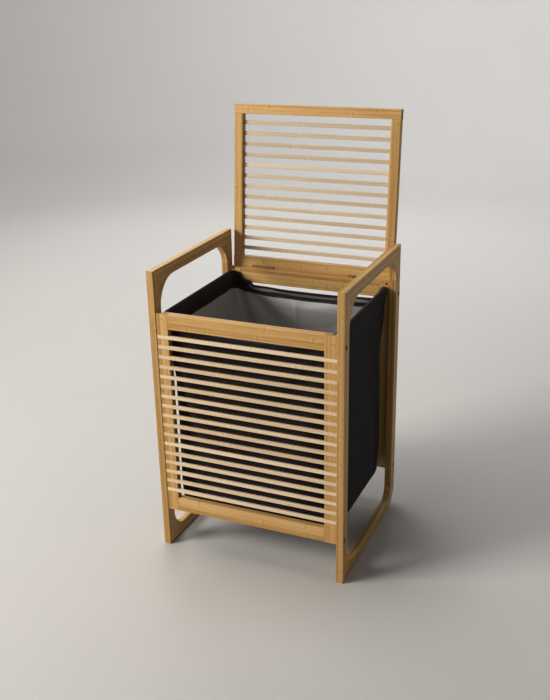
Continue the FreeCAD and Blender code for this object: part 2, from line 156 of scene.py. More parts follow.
# ---------------------------------------------------------------------------
# camera
# ---------------------------------------------------------------------------
def make_camera():
    f_px, cx, cz = 949.576, 0.713881, 1.115955
    cy = -1.485663 + FRONT_Y
    yaw, pitch, roll = 0.412051, 0.376034, -0.020237
    fwd = Vector((-math.sin(yaw) * math.cos(pitch), math.cos(yaw) * math.cos(pitch), -math.sin(pitch)))
    right = Vector((math.cos(yaw), math.sin(yaw), 0.0))
    up = right.cross(fwd)
    r2 = right * math.cos(roll) + up * math.sin(roll)
    u2 = up * math.cos(roll) - right * math.sin(roll)
    cam = bpy.data.objects.new("camera", bpy.data.cameras.new("camera"))
    bpy.context.scene.collection.objects.link(cam)
    m = Matrix.Identity(4)
    for i in range(3):
        m[i][0], m[i][1], m[i][2] = r2[i], u2[i], -fwd[i]
    m[0][3], m[1][3], m[2][3] = cx, cy, cz
    cam.matrix_world = m
    cam.data.sensor_fit = "AUTO"
    cam.data.sensor_width = 36.0
    cam.data.lens = f_px / 700.0 * 36.0
    cam.data.clip_start, cam.data.clip_end = 0.05, 60.0
    bpy.context.scene.camera = cam
    return cam


make_camera()


# ---------------------------------------------------------------------------
# node-tree helper
# ---------------------------------------------------------------------------
class Tree:
    def __init__(self, name):
        self.mat = bpy.data.materials.new(name)
        self.mat.use_nodes = True
        self.t = self.mat.node_tree
        self.t.nodes.clear()
        self.out = self.t.nodes.new("ShaderNodeOutputMaterial")
        self.bsdf = self.t.nodes.new("ShaderNodeBsdfPrincipled")
        self.t.links.new(self.bsdf.outputs[0], self.out.inputs[0])

    def put(self, sock, v):
        if isinstance(v, bpy.types.NodeSocket):
            self.t.links.new(v, sock)
        elif isinstance(v, (tuple, list)) and len(v) == 3 and sock.type == "RGBA":
            sock.default_value = (*v, 1.0)
        else:
            sock.default_value = v

    def m(self, op, a, b=None, c=None, clamp=False):
        n = self.t.nodes.new("ShaderNodeMath")
        n.operation, n.use_clamp = op, clamp
        for s, v in zip(n.inputs, (a, b, c)):
            if v is not None:
                self.put(s, v)
        return n.outputs[0]

    def vm(self, op, a, b=None, out=0):
        n = self.t.nodes.new("ShaderNodeVectorMath")
        n.operation = op
        self.put(n.inputs[0], a)
        if b is not None:
            self.put(n.inputs[1], b)
        return n.outputs["Value"] if op in ("DOT_PRODUCT", "LENGTH", "DISTANCE") else n.outputs[0]

    def coord(self):
        return self.t.nodes.new("ShaderNodeTexCoord").outputs["Object"]

    def onormal(self):
        return self.t.nodes.new("ShaderNodeTexCoord").outputs["Normal"]

    def xyz(self, v):
        n = self.t.nodes.new("ShaderNodeSeparateXYZ")
        self.put(n.inputs[0], v)
        return n.outputs[0], n.outputs[1], n.outputs[2]

    def vec(self, x, y, z):
        n = self.t.nodes.new("ShaderNodeCombineXYZ")
        for s, v in zip(n.inputs, (x, y, z)):
            self.put(s, v)
        return n.outputs[0]

    def noise(self, v, scale=1.0, detail=3.0, rough=0.5, dist=0.0):
        n = self.t.nodes.new("ShaderNodeTexNoise")
        self.put(n.inputs["Vector"], v)
        n.inputs["Scale"].default_value = scale
        n.inputs["Detail"].default_value = detail
        n.inputs["Roughness"].default_value = rough
        n.inputs["Distortion"].default_value = dist
        return n.outputs[0]

    def white(self, v, dims="3D"):
        n = self.t.nodes.new("ShaderNodeTexWhiteNoise")
        n.noise_dimensions = dims
        if dims == "1D":
            self.put(n.inputs["W"], v)
        else:
            self.put(n.inputs["Vector"], v)
        return n.outputs["Value"]

    def ramp(self, fac, stops, interp="LINEAR"):
        n = self.t.nodes.new("ShaderNodeValToRGB")
        e = n.color_ramp.elements
        n.color_ramp.interpolation = interp
        while len(e) < len(stops):
            e.new(0.5)
        for el, (p, c) in zip(e, stops):
            el.position = p
            el.color = (*c, 1.0) if len(c) == 3 else c
        self.put(n.inputs[0], fac)
        return n.outputs[0]

    def mix(self, fac, a, b, mode="MIX"):
        n = self.t.nodes.new("ShaderNodeMix")
        n.data_type, n.blend_type = "RGBA", mode
        self.put(n.inputs[0], fac)
        self.put(n.inputs[6], a)
        self.put(n.inputs[7], b)
        return n.outputs[2]

    def map01(self, v, lo, hi, a=0.0, b=1.0, smooth=False):
        n = self.t.nodes.new("ShaderNodeMapRange")
        n.interpolation_type = "SMOOTHSTEP" if smooth else "LINEAR"
        n.clamp = True
        self.put(n.inputs[0], v)
        for k, x in zip((1, 2, 3, 4), (lo, hi, a, b)):
            n.inputs[k].default_value = x
        return n.outputs[0]

    def bump(self, h, dist, strength=1.0, normal=None):
        n = self.t.nodes.new("ShaderNodeBump")
        n.inputs["Strength"].default_value = strength
        n.inputs["Distance"].default_value = dist
        self.put(n.inputs["Height"], h)
        if normal is not None:
            self.put(n.inputs["Normal"], normal)
        return n.outputs[0]

    def set(self, **kw):
        names = {"color": "Base Color", "rough": "Roughness", "metal": "Metallic", "normal": "Normal",
                 "coat": "Coat Weight", "coat_rough": "Coat Roughness", "sheen": "Sheen Weight",
                 "sheen_rough": "Sheen Roughness", "sheen_tint": "Sheen Tint", "ior": "IOR", "spec": "Specular IOR Level",
                 "aniso": "Anisotropic"}
        for k, v in kw.items():
            self.put(self.bsdf.inputs[names[k]], v)
        return self.mat


# ---------------------------------------------------------------------------
# bamboo: strips glued side by side, fine fibres, growth nodes, end joints
# ---------------------------------------------------------------------------
def bamboo(name, g_axis, a_axis, d_axis, origin=(0, 0, 0), strip=0.0085, layer=0.005, seg=0.85,
           light=(0.80, 0.52, 0.235), dark=(0.60, 0.335, 0.125), contrast=1.0, seed=0.0, item=None, loop=False, knots=0.30):
    T = Tree(name)
    P = T.vm("SUBTRACT", T.coord(), tuple(origin))
    N = T.onormal()
    g0, a0, d0 = (T.vm("DOT_PRODUCT", P, ax) for ax in (g_axis, a_axis, d_axis))
    ng = T.m("ABSOLUTE", T.vm("DOT_PRODUCT", N, g_axis))
    seam_extra = None
    if loop:
        # a loop frame: bars along Y at top and bottom, uprights along Z, mitred at the corners
        mid_y, half_y = (FRONT_Y + REAR_Y) / 2, (REAR_Y - FRONT_Y) / 2
        x, y, z = T.xyz(T.coord())
        ey = T.m("SUBTRACT", half_y, T.m("ABSOLUTE", T.m("SUBTRACT", y, mid_y)))
        ez = T.m("SUBTRACT", TOP_Z / 2, T.m("ABSOLUTE", T.m("SUBTRACT", z, TOP_Z / 2)))
        diff = T.m("SUBTRACT", ez, ey)
        horiz = T.m("LESS_THAN", diff, 0.0)                 # 1 in the top and bottom bars
        seam_extra = T.map01(T.m("ABSOLUTE", diff), 0.00012, 0.00055, 1.0, 0.0)
        mixf = lambda a, b: T.m("ADD", T.m("MULTIPLY", a, T.m("SUBTRACT", 1.0, horiz)), T.m("MULTIPLY", b, horiz))
        g = mixf(z, T.m("ADD", y, 3.1))
        a = mixf(T.m("ADD", ey, 0.0), T.m("ADD", ez, 0.5))
        d = x
        nx, ny, nz = T.xyz(N)
        ng = mixf(T.m("ABSOLUTE", nz), T.m("ABSOLUTE", ny))
    else:
        g, a, d = g0, a0, d0
    # slow wander of the fibres
    wander = T.m("MULTIPLY", T.m("SUBTRACT", T.noise(T.vec(T.m("MULTIPLY", g, 5.0), T.m("MULTIPLY", a, 18.0), T.m("ADD", d, seed)), 1.0, 2.0), 0.5), 0.0016)
    aw = T.m("ADD", a, wander)
    si = T.m("FLOOR", T.m("DIVIDE", T.m("ADD", a, 0.00013), strip))
    li = T.m("FLOOR", T.m("DIVIDE", T.m("ADD", d, 0.00007), layer))
    if item is not None:                                     # one number per slat
        pitch, start = item
        si = T.m("FLOOR", T.m("DIVIDE", T.m("SUBTRACT", a, start), pitch))
    r_strip = T.white(T.vec(si, li, seed + 3.7))
    r_off = T.white(T.vec(si, li, seed + 9.1))
    gs = T.m("ADD", T.m("DIVIDE", g, seg), T.m("MULTIPLY", r_off, 7.0))
    ki = T.m("FLOOR", gs)
    r_seg = T.white(T.vec(si, T.m("ADD", T.m("MULTIPLY", li, 17.0), ki), seed + 1.3))
    fs = T.m("SUBTRACT", gs, ki)
    # end joint between two lengths of strip
    end_d = T.m("MULTIPLY", T.m("SUBTRACT", 0.5, T.m("ABSOLUTE", T.m("SUBTRACT", fs, 0.5))), seg)
    joint = T.map01(end_d, 0.0001, 0.00045, 1.0, 0.0)
    # growth node across a strip
    gn = T.m("ADD", T.m("DIVIDE", T.m("ADD", g, T.m("MULTIPLY", T.noise(T.vec(T.m("MULTIPLY", a, 90.0), T.m("MULTIPLY", d, 90.0), seed), 1.0, 1.0), 0.004)), 0.235),
             T.m("ADD", T.m("MULTIPLY", r_off, 5.0), T.m("MULTIPLY", ki, 0.37)))
    fn = T.m("SUBTRACT", gn, T.m("FLOOR", gn))
    nd = T.m("MULTIPLY", T.m("ABSOLUTE", T.m("SUBTRACT", fn, 0.5)), 0.235)
    knot = T.map01(nd, 0.0004, 0.0042, 1.0, 0.0, smooth=True)
    halo = T.map01(nd, 0.003, 0.011, 1.0, 0.0, smooth=True)
    # fibres: broad bands, streaks, and the fine vessels
    pinch = T.m("MULTIPLY", halo, 0.0006)
    fib_a = T.m("ADD", aw, pinch)
    bands = T.noise(T.vec(T.m("MULTIPLY", g, 2.4), T.m("MULTIPLY", fib_a, 210.0), T.m("MULTIPLY", d, 210.0)), 1.0, 2.0, 0.5)
    streak = T.noise(T.vec(T.m("MULTIPLY", g, 9.0), T.m("MULTIPLY", fib_a, 900.0), T.m("MULTIPLY", d, 900.0)), 1.0, 3.0, 0.6)
    vessel = T.noise(T.vec(T.m("MULTIPLY", g, 38.0), T.m("MULTIPLY", fib_a, 2600.0), T.m("MULTIPLY", d, 2600.0)), 1.0, 2.0, 0.6)
    blotch = T.noise(T.vec(T.m("MULTIPLY", g, 3.0), T.m("MULTIPLY", a, 11.0), T.m("MULTIPLY", d, 11.0)), 1.0, 3.0, 0.55)
    k = contrast
    tone = T.m("ADD", 0.5, T.m("MULTIPLY", T.m("SUBTRACT", r_strip, 0.5), 0.42 * k))
    tone = T.m("ADD", tone, T.m("MULTIPLY", T.m("SUBTRACT", r_seg, 0.5), 0.26 * k))
    tone = T.m("ADD", tone, T.m("MULTIPLY", T.m("SUBTRACT", bands, 0.5), 0.95 * k))
    tone = T.m("ADD", tone, T.m("MULTIPLY", T.m("SUBTRACT", streak, 0.5), 0.75 * k))
    tone = T.m("ADD", tone, T.m("MULTIPLY", T.m("SUBTRACT", blotch, 0.5), 0.45 * k), clamp=True)
    col = T.ramp(tone, [(0.0, tuple(c * 0.80 for c in dark)), (0.32, dark),
                        (0.62, tuple((p + q) / 2 * 1.03 for p, q in zip(light, dark))), (1.0, light)])
    # dark vessels as short dashes
    dash = T.map01(vessel, 0.60, 0.72, 0.0, 1.0)
    col = T.mix(T.m("MULTIPLY", dash, 0.20 * k), col, tuple(c * 0.55 for c in dark))
    col = T.mix(T.m("MULTIPLY", knot, knots), col, (dark[0] * 0.62, dark[1] * 0.52, dark[2] * 0.42))
    col = T.mix(T.m("MULTIPLY", T.m("SUBTRACT", halo, knot, clamp=True), 0.16), col, tuple(min(1, c * 1.12) for c in light))
    # glue lines between strips and layers
    fa = T.m("FRACT", T.m("DIVIDE", T.m("ADD", a, 0.00013), strip))
    fd = T.m("FRACT", T.m("DIVIDE", T.m("ADD", d, 0.00007), layer))
    sa = T.m("MULTIPLY", T.m("SUBTRACT", 0.5, T.m("ABSOLUTE", T.m("SUBTRACT", fa, 0.5))), strip)
    sd = T.m("MULTIPLY", T.m("SUBTRACT", 0.5, T.m("ABSOLUTE", T.m("SUBTRACT", fd, 0.5))), layer)
    na = T.m("ABSOLUTE", T.vm("DOT_PRODUCT", N, a_axis)) if not loop else 0.0
    ndx = T.m("ABSOLUTE", T.vm("DOT_PRODUCT", N, d_axis))
    glue_a = T.map01(sa, 0.00005, 0.00022, 1.0, 0.0)
    glue_d = T.map01(sd, 0.00005, 0.00022, 1.0, 0.0)
    if not loop:
        glue_a = T.m("MULTIPLY", glue_a, T.m("SUBTRACT", 1.0, T.map01(na, 0.7, 0.9)))
    glue_d = T.m("MULTIPLY", glue_d, T.m("SUBTRACT", 1.0, T.map01(ndx, 0.7, 0.9)))
    if item is not None:
        glue = glue_d
    else:
        glue = T.m("MAXIMUM", glue_a, glue_d)
    glue = T.m("MAXIMUM", glue, joint)
    if seam_extra is not None:
        glue = T.m("MAXIMUM", glue, seam_extra)
    col = T.mix(T.m("MULTIPLY", glue, 0.36), col, tuple(c * 0.42 for c in dark))
    # end grain: cut vessels, darker
    end = T.map01(ng, 0.72, 0.9)
    dots = T.noise(T.vec(T.m("MULTIPLY", g, 40.0), T.m("MULTIPLY", a, 2300.0), T.m("MULTIPLY", d, 2300.0)), 1.0, 2.0, 0.6)
    endc = T.mix(T.map01(dots, 0.42, 0.62), tuple(c * 0.88 for c in dark), tuple(c * 0.50 for c in dark))
    col = T.mix(T.m("MULTIPLY", end, 0.72), col, endc)
    rough = T.m("ADD", 0.42, T.m("MULTIPLY", T.m("SUBTRACT", streak, 0.5), 0.22))
    rough = T.m("ADD", rough, T.m("MULTIPLY", blotch, 0.10))
    rough = T.m("ADD", rough, T.m("MULTIPLY", end, 0.18), clamp=True)
    h = T.m("ADD", T.m("MULTIPLY", streak, 0.45), T.m("MULTIPLY", vessel, 0.35))
    h = T.m("SUBTRACT", h, T.m("MULTIPLY", glue, 0.9))
    h = T.m("ADD", h, T.m("MULTIPLY", knot, 0.5))
    nrm = T.bump(h, 0.00012, 0.75)
    return T.set(color=col, rough=rough, normal=nrm, coat=0.05, coat_rough=0.25, spec=0.30)


X, Y, Z = (1, 0, 0), (0, 1, 0), (0, 0, 1)
LID_UP = (0.0, math.sin(LEAN), math.cos(LEAN))         # along the open lid
LID_N = (0.0, math.cos(LEAN), -math.sin(LEAN))         # its outer face
HINGE_P = (0.0, HY, HZ)

ob = lambda p: (p[0], p[1], p[2])
FRAME_LIGHT, FRAME_DARK = (0.665, 0.452, 0.205), (0.45, 0.262, 0.090)
SLAT_LIGHT, SLAT_DARK = (0.78, 0.66, 0.50), (0.62, 0.48, 0.32)

mats = {}
mats["loop_l"] = bamboo("bamboo_loop_left", Z, Y, X, strip=0.0063, layer=0.005, seg=1.1, light=FRAME_LIGHT, dark=FRAME_DARK, seed=1.0, loop=True)
mats["loop_r"] = bamboo("bamboo_loop_right", Z, Y, X, strip=0.0063, layer=0.005, seg=1.0, light=FRAME_LIGHT, dark=FRAME_DARK, seed=5.0, loop=True)
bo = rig.box("front_bottom_rail")
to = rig.box("front_top_rail")
mats["rail"] = bamboo("bamboo_rail", X, Z, Y, origin=(0.06, FRONT_Y + 0.0015, bo[0].z), strip=0.01033, layer=0.007, light=FRAME_LIGHT, dark=FRAME_DARK, seed=2.0)
mats["stile"] = bamboo("bamboo_stile", Z, X, Y, origin=(-0.185, FRONT_Y + 0.0015, 0.03), strip=0.00833, layer=0.007, light=FRAME_LIGHT, dark=FRAME_DARK, seed=3.0)
mats["lid_rail"] = bamboo("bamboo_lid_rail", X, LID_UP, LID_N, origin=HINGE_P, strip=0.0085, layer=0.005, light=FRAME_LIGHT, dark=FRAME_DARK, seed=4.0)
mats["lid_stile"] = bamboo("bamboo_lid_stile", LID_UP, X, LID_N, origin=(-0.183, HY, HZ), strip=0.008, layer=0.005, light=FRAME_LIGHT, dark=FRAME_DARK, seed=6.0)
s1, s2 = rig.box("front_slat_01"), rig.box("front_slat_02")
pitch_f = (s1[0].z - s2[0].z)
mats["slat"] = bamboo("bamboo_slat_panel", X, Z, Y, strip=0.5, layer=0.5, seg=4.0, light=SLAT_LIGHT, dark=SLAT_DARK, contrast=0.7, seed=7.0, knots=0.10,
                      item=(pitch_f, s1[0].z + 0.004 - pitch_f / 2 - 40 * pitch_f))
l1 = [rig.box("lid_slat_%02d" % i) for i in (1, 2)]
lid_along = lambda p: (p.y - HY) * LID_UP[1] + (p.z - HZ) * LID_UP[2]
c1, c2 = (lid_along((b[0] + b[1]) / 2) for b in l1)
pitch_l = abs(c1 - c2)
mats["lid_slat"] = bamboo("bamboo_slat_lid", X, LID_UP, LID_N, origin=HINGE_P, strip=0.5, layer=0.5, seg=4.0, light=(0.72, 0.62, 0.49), dark=(0.55, 0.44, 0.31), contrast=0.7, seed=8.0, knots=0.10,
                          item=(pitch_l, c1 - pitch_l / 2 - 40 * pitch_l))
mats["dowel"] = bamboo("bamboo_dowel", X, Z, Y, strip=0.5, layer=0.5, light=(0.72, 0.52, 0.31), dark=(0.58, 0.38, 0.2), contrast=0.8, seed=9.0)
mats["rod"] = bamboo("bamboo_rod", Y, Z, X, strip=0.5, layer=0.5, light=(0.72, 0.52, 0.31), dark=(0.58, 0.38, 0.2), contrast=0.8, seed=10.0)


# ---------------------------------------------------------------------------
# metals, board
# ---------------------------------------------------------------------------
def metal(name, base, tarnish, rough, seed, axis="x"):
    T = Tree(name)
    P = T.vm("ADD", T.coord(), (seed, seed * 0.7, -seed))
    big = T.noise(P, 95.0, 4.0, 0.6)
    fine = T.noise(P, 900.0, 3.0, 0.6)
    x, y, z = T.xyz(P)
    brush = T.noise(T.vec(T.m("MULTIPLY", x, 40.0), T.m("MULTIPLY", y, 2600.0), T.m("MULTIPLY", z, 2600.0)), 1.0, 2.0)
    f = T.m("ADD", T.m("MULTIPLY", T.m("SUBTRACT", big, 0.5), 1.8), T.m("MULTIPLY", T.m("SUBTRACT", fine, 0.5), 0.7))
    col = T.ramp(T.m("ADD", f, 0.45, clamp=True), [(0.0, tarnish), (0.55, base), (1.0, tuple(min(1, c * 1.25) for c in base))])
    r = T.m("ADD", rough, T.m("ADD", T.m("MULTIPLY", T.m("SUBTRACT", big, 0.5), 0.25), T.m("MULTIPLY", T.m("SUBTRACT", brush, 0.5), 0.16)), clamp=True)
    nrm = T.bump(T.m("ADD", T.m("MULTIPLY", brush, 0.6), T.m("MULTIPLY", fine, 0.4)), 0.00004, 0.6)
    T.bsdf.inputs["Metallic"].default_value = 1.0
    return T.set(color=col, rough=r, normal=nrm)


mats["hinge"] = metal("antique_bronze", (0.235, 0.150, 0.070), (0.075, 0.048, 0.026), 0.42, 1.3)
mats["screw"] = metal("bronzed_screw", (0.30, 0.21, 0.11), (0.10, 0.065, 0.035), 0.36, 4.1)
mats["bolt"] = metal("dark_bronze_bolt", (0.15, 0.10, 0.065), (0.05, 0.035, 0.025), 0.38, 7.7)


def weave(T, P, uvw, pitch, seedv=0.0):
    """plain weave on the two directions that lie in the surface, mixed by the surface normal"""
    x, y, z = T.xyz(P)
    w = 2 * math.pi / pitch
    nx, ny, nz = (T.m("ABSOLUTE", s) for s in T.xyz(T.onormal()))

    def plain(p, q):
        sp, sq = T.m("SINE", T.m("MULTIPLY", p, w)), T.m("SINE", T.m("MULTIPLY", q, w))
        par = T.m("MULTIPLY", T.m("SINE", T.m("MULTIPLY", p, w / 2)), T.m("SINE", T.m("MULTIPLY", q, w / 2)))
        over = T.map01(par, -0.25, 0.25)
        hp = T.m("ABSOLUTE", T.m("COSINE", T.m("MULTIPLY", p, w / 2)))
        hq = T.m("ABSOLUTE", T.m("COSINE", T.m("MULTIPLY", q, w / 2)))
        return T.m("ADD", T.m("MULTIPLY", hp, over), T.m("MULTIPLY", hq, T.m("SUBTRACT", 1.0, over)))

    hx, hy, hz = plain(y, z), plain(x, z), plain(x, y)
    wx = T.map01(T.m("SUBTRACT", nx, T.m("MAXIMUM", ny, nz)), -0.1, 0.1)
    wz = T.map01(T.m("SUBTRACT", nz, T.m("MAXIMUM", ny, nx)), -0.1, 0.1)
    h = T.m("ADD", T.m("MULTIPLY", hx, wx), T.m("MULTIPLY", hy, T.m("SUBTRACT", 1.0, wx)))
    return T.m("ADD", T.m("MULTIPLY", h, T.m("SUBTRACT", 1.0, wz)), T.m("MULTIPLY", hz, wz))


def cloth(name, base, high, pitch, rough, sheen, bump_d, melange, seed, spec=0.3):
    T = Tree(name)
    P = T.coord()
    h = weave(T, P, None, pitch)
    slub = T.noise(T.vm("MULTIPLY", P, (700.0, 700.0, 60.0)), 1.0, 2.0, 0.6)
    slub2 = T.noise(T.vm("MULTIPLY", P, (60.0, 60.0, 700.0)), 1.0, 2.0, 0.6)
    big = T.noise(T.vm("ADD", P, (seed, 0, 0)), 14.0, 4.0, 0.6)
    fuzz = T.noise(P, 2200.0, 2.0, 0.7)
    t = T.m("ADD", T.m("MULTIPLY", T.m("SUBTRACT", slub, 0.5), melange), T.m("MULTIPLY", T.m("SUBTRACT", slub2, 0.5), melange))
    t = T.m("ADD", t, T.m("MULTIPLY", T.m("SUBTRACT", big, 0.5), 0.5))
    # the weave height also sets the colour: painted highlight on the thread crowns and painted shade in the gaps
    # between threads
    t = T.m("ADD", t, T.m("MULTIPLY", T.m("SUBTRACT", h, 0.6), 0.8))
    t = T.m("ADD", t, T.m("MULTIPLY", T.m("SUBTRACT", fuzz, 0.5), 0.5))
    col = T.mix(T.m("ADD", t, 0.4, clamp=True), base, high)
    r = T.m("ADD", rough, T.m("MULTIPLY", T.m("SUBTRACT", big, 0.5), 0.14), clamp=True)
    hh = T.m("ADD", h, T.m("MULTIPLY", fuzz, 0.25))
    nrm = T.bump(hh, bump_d, 0.8)
    T.bsdf.inputs["Sheen Weight"].default_value = sheen
    T.bsdf.inputs["Sheen Roughness"].default_value = 0.45
    T.bsdf.inputs["Specular IOR Level"].default_value = spec
    return T.set(color=col, rough=r, normal=nrm)


mats["outer"] = cloth("charcoal_oxford", (0.0158, 0.0126, 0.0138), (0.041, 0.0345, 0.037), 0.0011, 0.88, 0.05, 0.00018, 0.9, 0.0, spec=0.12)
mats["lining"] = cloth("grey_lining", (0.43, 0.43, 0.445), (0.55, 0.55, 0.565), 0.0007, 0.62, 0.12, 0.00007, 0.45, 3.0, spec=0.35)
mats["hem"] = cloth("hem_tape", (0.019, 0.0155, 0.0165), (0.048, 0.041, 0.043), 0.0009, 0.85, 0.04, 0.00016, 0.7, 5.0, spec=0.12)
mats["tape"] = cloth("hem_binding", (0.13, 0.125, 0.12), (0.21, 0.205, 0.20), 0.0008, 0.75, 0.2, 0.00012, 0.5, 6.0)
mats["thread"] = cloth("thread", (0.05, 0.048, 0.05), (0.10, 0.098, 0.10), 0.0004, 0.7, 0.3, 0.00005, 0.8, 8.0)
mats["board"] = cloth("covered_board", (0.125, 0.122, 0.120), (0.20, 0.198, 0.195), 0.0007, 0.7, 0.12, 0.00008, 0.6, 12.0)


def assign(node, key):
    o = NODES[node]
    o.data.materials.clear()
    o.data.materials.append(mats[key])
    for p in o.data.polygons:
        p.material_index = 0


for n in NODES:
    if n == "left_side_frame": assign(n, "loop_l")
    elif n == "right_side_frame": assign(n, "loop_r")
    elif n.startswith("lid_slat"): assign(n, "lid_slat")
    elif n in ("lid_front_rail", "lid_back_rail"): assign(n, "lid_rail")
    elif n in ("lid_left_stile", "lid_right_stile"): assign(n, "lid_stile")
    elif n.startswith("front_slat") or n == "back_slats": assign(n, "slat")
    elif n.endswith("_rail"): assign(n, "rail")
    elif n.endswith("_stile"): assign(n, "stile")
    elif "hinge_screws" in n: assign(n, "screw")
    elif "hinge" in n: assign(n, "hinge")
    elif n in ("frame_bolts", "barrel_nuts"): assign(n, "bolt")
    elif n.endswith("_rod"): assign(n, "rod")
    elif n.endswith("dowels"): assign(n, "dowel")
    elif n == "bag_base_board": assign(n, "board")
    elif n == "bag_shell": assign(n, "outer")

# ---------------------------------------------------------------------------
# the bag: one double-walled fabric shell, draped by a cloth simulation
# ---------------------------------------------------------------------------
AX = 0.1766                                  # half width of the wall's middle surface
BY0, BY1 = BAG_LO.y + 0.0008, BAG_HI.y - 0.0008
CY = (BY0 + BY1) / 2
ROD_Z = (ROD_L[0].z + ROD_L[1].z) / 2
Z_BASE = BAG_LO.z + 0.0009
FOLD = 0.009
EDGE_Z = 0.4822                              # free edge of the front and back panels
NS, NF, NC = 26, 30, 5                       # coarse columns: sides, front and back, corners


def smooth01(t):
    t = np.clip(t, 0.0, 1.0)
    return t * t * (3 - 2 * t)


def col_params(ns, nf, corner):
    """(kind, t) going round: right side, back-right corner, back, ... kinds 0-7"""
    out = []
    for k in range(8):
        if k % 2 == 0:
            n = ns if k in (0, 4) else nf
            out += [(k, i / n) for i in range(n)]
        else:
            out += [(k, t) for t in corner]
    return np.array(out)


COARSE = col_params(NS, NF, [i / NC for i in range(NC)])
FINE = col_params(NS * 3, NF * 3, [0.0, 0.09, 0.18, 0.27, 0.35, 0.42, 0.465, 0.5, 0.535, 0.58, 0.65, 0.73, 0.82, 0.91])
START = np.cumsum([0] + [(NS, NC, NF, NC, NS, NC, NF, NC)[k] for k in range(8)])


def coarse_index(cols):
    cnt = np.array([NS, NC, NF, NC, NS, NC, NF, NC])
    k = cols[:, 0].astype(int)
    return START[k] + cols[:, 1] * cnt[k]


def ring(cols, a, b0, b1, r):
    """points and outward normals on a rounded rectangle; a, b0, b1, r may be per-column"""
    k, t = cols[:, 0].astype(int), cols[:, 1]
    x, y, nx, ny = (np.zeros(len(cols)) for _ in range(4))
    a, b0, b1, r = (np.broadcast_to(np.asarray(v, float), (len(cols),)) for v in (a, b0, b1, r))
    m = k == 0
    x[m], y[m], nx[m] = a[m], (b0 + r + (b1 - b0 - 2 * r) * t)[m], 1
    m = k == 4
    x[m], y[m], nx[m] = -a[m], (b1 - r - (b1 - b0 - 2 * r) * t)[m], -1
    m = k == 2
    x[m], y[m], ny[m] = (a - r - (2 * a - 2 * r) * t)[m], b1[m], 1
    m = k == 6
    x[m], y[m], ny[m] = (-a + r + (2 * a - 2 * r) * t)[m], b0[m], -1
    for kk, sx, yc, a0 in ((1, 1, b1 - r, 0.0), (3, -1, b1 - r, math.pi / 2), (5, -1, b0 + r, math.pi), (7, 1, b0 + r, 1.5 * math.pi)):
        m = k == kk
        th = a0 + t[m] * math.pi / 2
        x[m] = (sx * (a - r))[m] + r[m] * np.cos(th)
        y[m] = yc[m] + r[m] * np.sin(th)
        nx[m], ny[m] = np.cos(th), np.sin(th)
    return x, y, nx, ny


def side_weight(cols):
    """1 along the rods, 0 on the front and back panels"""
    k, t = cols[:, 0].astype(int), cols[:, 1]
    w = np.where((k == 0) | (k == 4), 1.0, 0.0)
    for kk, up in ((1, False), (3, True), (5, False), (7, True)):
        m = k == kk
        tt = t[m] if not up else 1 - t[m]
        w[m] = 1 - smooth01((tt - 0.15) / 0.65)
    return w


def corner_radius(z):
    return 0.011 + 0.025 * smooth01((0.462 - z) / 0.100) + 0.006 * smooth01((0.36 - z) / 0.20)


def shoulder(cols):
    """0 on the low free edge, 1 where the band keeps its full height at the corners and rods"""
    x, y, nx, ny = ring(cols, AX, BY0, BY1, 0.011)
    k = cols[:, 0].astype(int)
    left = 0.36 * smooth01((-x - 0.125) / 0.011) + 0.64 * smooth01((-x - 0.147) / 0.016)
    right = smooth01((x - 0.153) / 0.015)
    return np.where((k == 0) | (k == 4), 1.0, np.maximum(left, right))


def top_z(cols):
    x, y, nx, ny = ring(cols, AX, BY0, BY1, 0.011)
    z = EDGE_Z + (ROD_Z - 0.0015 - EDGE_Z) * shoulder(cols) + 0.0015 * smooth01((np.abs(x) - 0.150) / 0.016)
    k = cols[:, 0].astype(int)
    return np.where((k == 0) | (k == 4), ROD_Z, z)


def mid_surface(cols, h, zt):
    """middle surface at path length h below the top edge; h has one value per column"""
    z_straight = Z_BASE + FOLD
    straight = zt - z_straight
    arc = FOLD * math.pi / 2
    z = np.where(h <= straight, zt - h, 0.0)
    th = np.clip((h - straight) / FOLD, 0, math.pi / 2)
    z = np.where((h > straight), z_straight - FOLD * np.sin(th), z)
    inset = np.where(h > straight, FOLD * (1 - np.cos(th)), 0.0) + np.maximum(h - straight - arc, 0.0)
    r = corner_radius(z)
    pull = 0.0020 * smooth01((0.435 - z) / 0.08)
    e = np.minimum(inset, 0.040)
    x, y, nx, ny = ring(cols, AX - pull - e, BY0 + pull * 1.2 + e, BY1 - pull * 0.6 - e, np.maximum(r - e, 0.004))
    # past 40 mm the base rings shrink towards the middle
    s = np.clip(1 - (inset - 0.040) / 0.100, 0.0, 1.0)
    x, y = x * np.where(inset > 0.040, s, 1), CY + (y - CY) * np.where(inset > 0.040, s, 1)
    return np.stack([x, y, z], -1)


def arc_len(zt):
    return zt - (Z_BASE + FOLD) + FOLD * math.pi / 2


